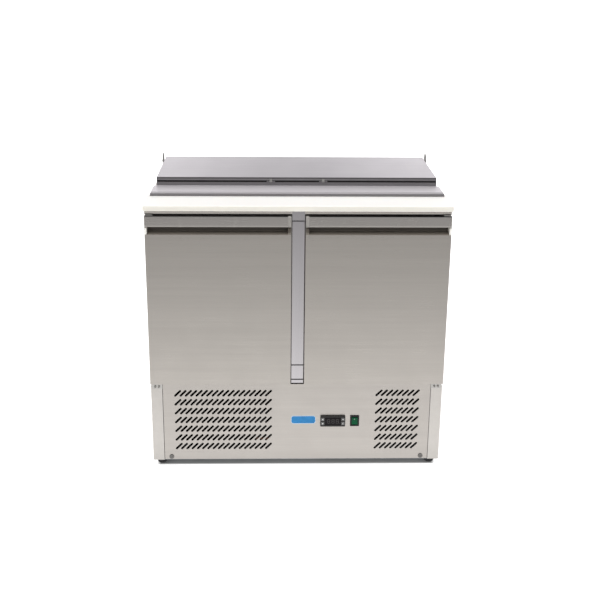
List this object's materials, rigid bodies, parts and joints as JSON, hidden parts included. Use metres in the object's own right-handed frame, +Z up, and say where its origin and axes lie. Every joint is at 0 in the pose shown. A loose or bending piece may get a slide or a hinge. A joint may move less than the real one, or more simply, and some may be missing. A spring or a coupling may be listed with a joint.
{
  "type": "refrigerated sandwich prep table",
  "caption": "Stainless refrigerated prep table with doors, a folding lid over a pan well, a front cutting board and a vented base.",
  "frame": {"origin": "centre of the bounding box's footprint on the floor, at rest", "axes": "+X to the right seen from the front, +Y to the back, +Z up"},
  "size_m": [0.9, 0.7, 0.882],
  "materials": {
    "brushed_stainless": "satin",
    "lining_stainless": "satin",
    "hardware_steel": "satin",
    "shelf_chrome": "polished",
    "galvanised": "matte",
    "white_board": "satin",
    "insulation": "matte",
    "seal_rubber": "matte",
    "grey_plastic": "matte",
    "black_plastic": "satin",
    "green_rocker": "gloss",
    "copper": "satin",
    "fin_aluminium": "satin",
    "black_enamel": "gloss"
  },
  "bodies": {
    "cabinet": {"left_side_panel": "brushed_stainless", "right_side_panel": "brushed_stainless", "back_panel": "brushed_stainless", "rear_vent_panel": "brushed_stainless", "base_plates": "galvanised", "foam_insulation": "insulation", "inner_liner": "lining_stainless", "face_frame": "lining_stainless", "mullion_top_cap": "brushed_stainless", "mullion_strips": "brushed_stainless", "grille_panel": "brushed_stainless", "front_screws": "hardware_steel", "feet": "seal_rubber", "worktop": "brushed_stainless", "pan_surround": "brushed_stainless", "pan_support_bars": "brushed_stainless", "food_pans": "lining_stainless", "door_hinge_brackets": "hardware_steel", "hinge_pins": "hardware_steel", "lid_hinge_brackets": "hardware_steel", "shelf_runners": "hardware_steel", "wire_shelves": "shelf_chrome", "evaporator_coil": "fin_aluminium", "evaporator_cover": "lining_stainless", "fan_motors": "black_enamel", "compressor": "black_enamel", "condenser_coil": "fin_aluminium", "condenser_shroud": "galvanised", "refrigerant_pipes": "copper", "condensate_tray": "black_plastic", "controller_housing": "black_plastic", "switch_housing": "black_plastic", "cable_gland": "black_plastic"},
    "board": {"cutting_board": "white_board"},
    "left_door": {"left_door_skin": "brushed_stainless", "left_door_liner": "lining_stainless", "left_door_foam": "insulation", "left_door_gasket": "seal_rubber", "left_handle_profile": "brushed_stainless", "left_grip_channel": "grey_plastic", "left_door_bushes": "grey_plastic"},
    "right_door": {"right_door_skin": "brushed_stainless", "right_door_liner": "lining_stainless", "right_door_foam": "insulation", "right_door_gasket": "seal_rubber", "right_handle_profile": "brushed_stainless", "right_grip_channel": "grey_plastic", "right_door_bushes": "grey_plastic"},
    "lid_rear": {"lid_rear_panel": "brushed_stainless", "lid_liner": "lining_stainless", "lid_seal": "seal_rubber", "flap_hinges": "hardware_steel"},
    "lid_flap": {"lid_front_flap": "brushed_stainless"},
    "condenser_fan_wheel": {"condenser_fan": "fin_aluminium"},
    "evaporator_fan_wheel": {"evaporator_fan": "black_plastic"},
    "rocker": {"switch_rocker": "green_rocker"},
    "button_1": {"controller_button_1": "black_plastic"},
    "button_2": {"controller_button_2": "black_plastic"},
    "button_3": {"controller_button_3": "black_plastic"},
    "button_4": {"controller_button_4": "black_plastic"}
  },
  "joints": [
    {"name": "left_door_hinge", "type": "hinge", "parent": "cabinet", "child": "left_door", "pos_m": [-0.43, -0.326, 0.541], "axis": [0, 0, -1], "range_deg": [0, 100]},
    {"name": "right_door_hinge", "type": "hinge", "parent": "cabinet", "child": "right_door", "pos_m": [0.43, -0.326, 0.541], "axis": [0, 0, 1], "range_deg": [0, 100]},
    {"name": "lid_hinge", "type": "hinge", "parent": "cabinet", "child": "lid_rear", "pos_m": [0, 0.188, 0.856], "axis": [-1, 0, 0], "range_deg": [0, 95]},
    {"name": "flap_fold", "type": "hinge", "parent": "lid_rear", "child": "lid_flap", "pos_m": [0, -0.1235, 0.8555], "axis": [-1, 0, 0], "range_deg": [0, 176]},
    {"name": "board_slide", "type": "slide", "parent": "cabinet", "child": "board", "axis": [0, -1, 0], "range_m": [0, 0.15]},
    {"name": "condenser_fan_spin", "type": "hinge", "parent": "cabinet", "child": "condenser_fan_wheel", "pos_m": [-0.26, -0.232, 0.15], "axis": [0, 1, 0], "continuous": true},
    {"name": "evaporator_fan_spin", "type": "hinge", "parent": "cabinet", "child": "evaporator_fan_wheel", "pos_m": [0, 0.247, 0.65], "axis": [0, 1, 0], "continuous": true},
    {"name": "power_rocker_tilt", "type": "hinge", "parent": "cabinet", "child": "rocker", "pos_m": [0.1785, -0.332, 0.152], "axis": [-1, 0, 0], "range_deg": [0, 10]},
    {"name": "button_1_press", "type": "slide", "parent": "cabinet", "child": "button_1", "axis": [0, 1, 0], "range_m": [0, 0.0008], "stiffness_N_per_m": 200},
    {"name": "button_2_press", "type": "slide", "parent": "cabinet", "child": "button_2", "axis": [0, 1, 0], "range_m": [0, 0.0008], "stiffness_N_per_m": 200},
    {"name": "button_3_press", "type": "slide", "parent": "cabinet", "child": "button_3", "axis": [0, 1, 0], "range_m": [0, 0.0008], "stiffness_N_per_m": 200},
    {"name": "button_4_press", "type": "slide", "parent": "cabinet", "child": "button_4", "axis": [0, 1, 0], "range_m": [0, 0.0008], "stiffness_N_per_m": 200}
  ]
}
